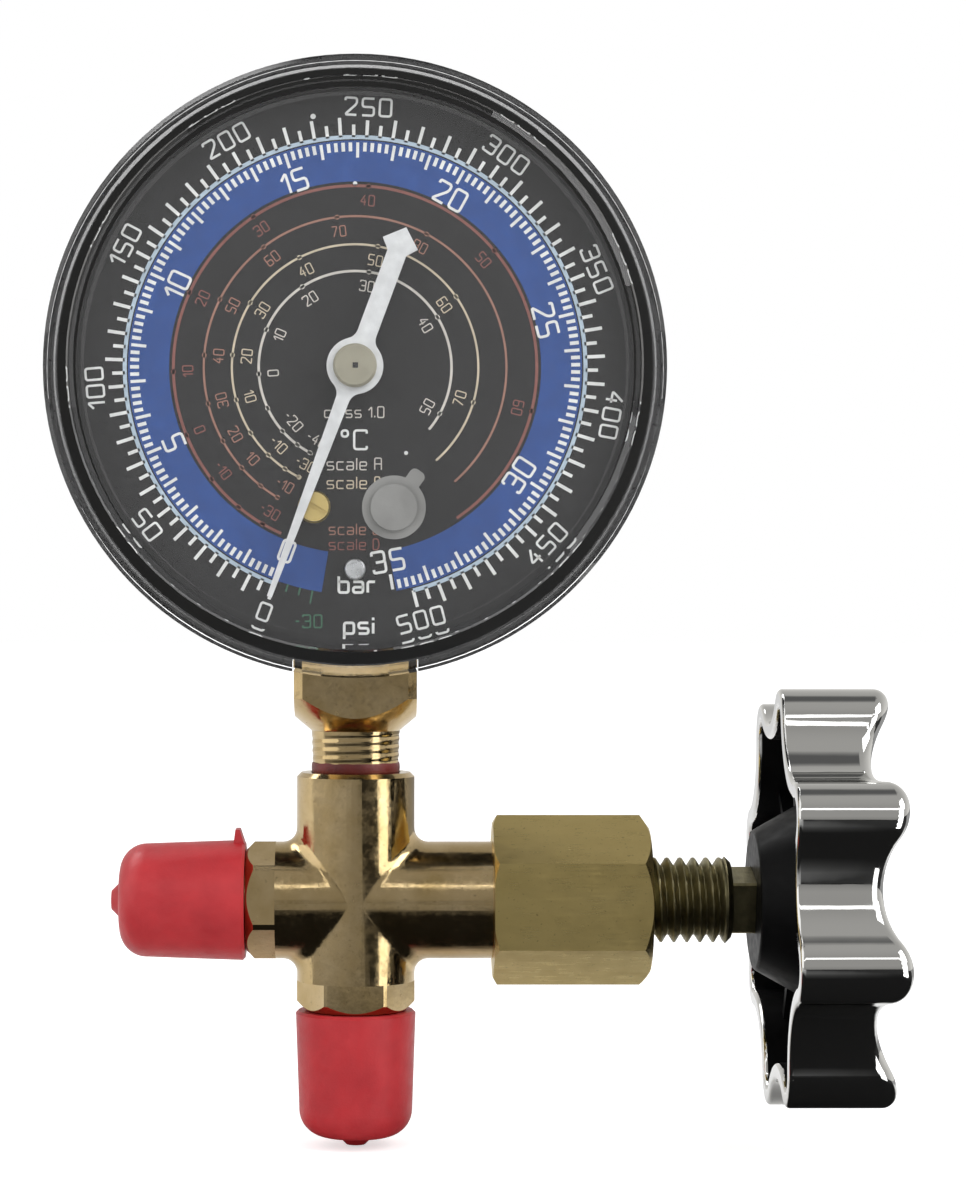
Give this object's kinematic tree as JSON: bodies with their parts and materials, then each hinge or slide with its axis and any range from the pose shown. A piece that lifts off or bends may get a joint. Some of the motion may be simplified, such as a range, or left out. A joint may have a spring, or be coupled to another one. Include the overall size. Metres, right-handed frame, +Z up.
{
  "type": "refrigerant manifold gauge",
  "caption": "Brass cross manifold with a dial pressure gauge on top, a screw-down valve with a lobed chrome handwheel on the right, and capped flare ports left and below.",
  "frame": {"origin": "middle of the bottom flare port's end face, on the body's upright axis", "axes": "+Z up through the gauge, +X towards the handwheel along the valve, -Y the way the dial faces"},
  "size_m": [0.0952, 0.049, 0.1236],
  "materials": {
    "body_brass": "satin",
    "bonnet_brass": "machined",
    "copper_seal": "satin",
    "dark_steel": "oiled",
    "black_rubber": "matte",
    "white_seal": "matte",
    "chrome_plate": "polished",
    "zinc_steel": "plated",
    "red_vinyl": "satin",
    "red_sealant": "matte",
    "black_paint": "satin",
    "clear_cover": "gloss",
    "grey_rubber": "matte",
    "dial_black": "matte",
    "white_paint": "matte",
    "pale_bush": "satin",
    "bronze_strip": "satin"
  },
  "bodies": {
    "base": {"manifold_body": "body_brass", "valve_bonnet": "bonnet_brass", "bonnet_gasket": "copper_seal", "thread_sealant": "red_sealant", "gauge_socket": "body_brass", "gauge_case": "black_paint", "case_screws": "zinc_steel", "lens_gasket": "black_rubber", "dial_plate": "dial_black", "dial_screw": "zinc_steel", "hairspring": "bronze_strip", "bourdon_tube": "bronze_strip", "movement_back_plate": "bonnet_brass", "movement_front_plate": "bonnet_brass", "movement_pillars": "body_brass", "movement_screws": "zinc_steel"},
    "cover": {"lens_cover": "clear_cover"},
    "plug": {"calibration_plug": "grey_rubber"},
    "zero_screw": {"calibration_screw": "bonnet_brass"},
    "left_cap": {"left_port_cap": "red_vinyl"},
    "bottom_cap": {"bottom_port_cap": "red_vinyl"},
    "piston": {"valve_piston": "bonnet_brass", "piston_o_rings": "black_rubber", "piston_seal": "white_seal"},
    "stem": {"valve_stem": "dark_steel", "handwheel": "chrome_plate", "handwheel_washer": "zinc_steel", "handwheel_screw": "zinc_steel"},
    "pointer_body": {"pointer": "white_paint", "pointer_hub": "pale_bush", "pinion_arbor": "zinc_steel"},
    "sector": {"sector_gear": "bonnet_brass", "sector_arbor": "zinc_steel"},
    "link": {"connecting_link": "bonnet_brass", "link_pins": "zinc_steel", "tube_tip": "body_brass"}
  },
  "joints": [
    {"name": "valve_travel", "type": "slide", "parent": "base", "child": "piston", "axis": [1, 0, 0], "range_m": [-0.00451, 0.00151]},
    {"name": "valve_turn", "type": "hinge", "parent": "piston", "child": "stem", "pos_m": [0.045, 0, 0.026], "axis": [1, 0, 0], "range_deg": [-1080, 360]},
    {"name": "pointer_turn", "type": "hinge", "parent": "base", "child": "pointer_body", "pos_m": [0, -0.0132, 0.0867], "axis": [0, 1, 0], "range_deg": [-10.5, 325.5], "deforming": ["hairspring"]},
    {"name": "sector_turn", "type": "hinge", "parent": "base", "child": "sector", "pos_m": [0.01189, -0.0047, 0.07837], "axis": [0, 1, 0], "range_deg": [-32.5, 1], "stiffness_Nm_per_rad": 0.1},
    {"name": "link_turn", "type": "hinge", "parent": "sector", "child": "link", "pos_m": [0.01722, -0.0061, 0.07464], "axis": [0, 1, 0], "range_deg": [-1.1, 32.6], "deforming": ["bourdon_tube"]},
    {"name": "cover_turn", "type": "hinge", "parent": "base", "child": "cover", "pos_m": [0, -0.018, 0.0867], "axis": [0, 1, 0], "range_deg": [0, 45]},
    {"name": "plug_pull", "type": "slide", "parent": "cover", "child": "plug", "axis": [0, -1, 0], "range_m": [0, 0.01]},
    {"name": "zero_screw_turn", "type": "hinge", "parent": "base", "child": "zero_screw", "pos_m": [-0.0046, -0.0112, 0.0711], "axis": [0, 1, 0], "range_deg": [-180, 180]},
    {"name": "left_cap_pull", "type": "slide", "parent": "base", "child": "left_cap", "axis": [-1, 0, 0], "range_m": [0, 0.025]},
    {"name": "bottom_cap_pull", "type": "slide", "parent": "base", "child": "bottom_cap", "axis": [0, 0, -1], "range_m": [0, 0.025]}
  ],
  "couplings": [
    {"joint": "valve_travel", "follows": "valve_turn", "m_per_rad": 0.00023873},
    {"joint": "pointer_turn", "follows": "sector_turn", "ratio": -10},
    {"joint": "link_turn", "follows": "sector_turn", "ratio": -1}
  ]
}
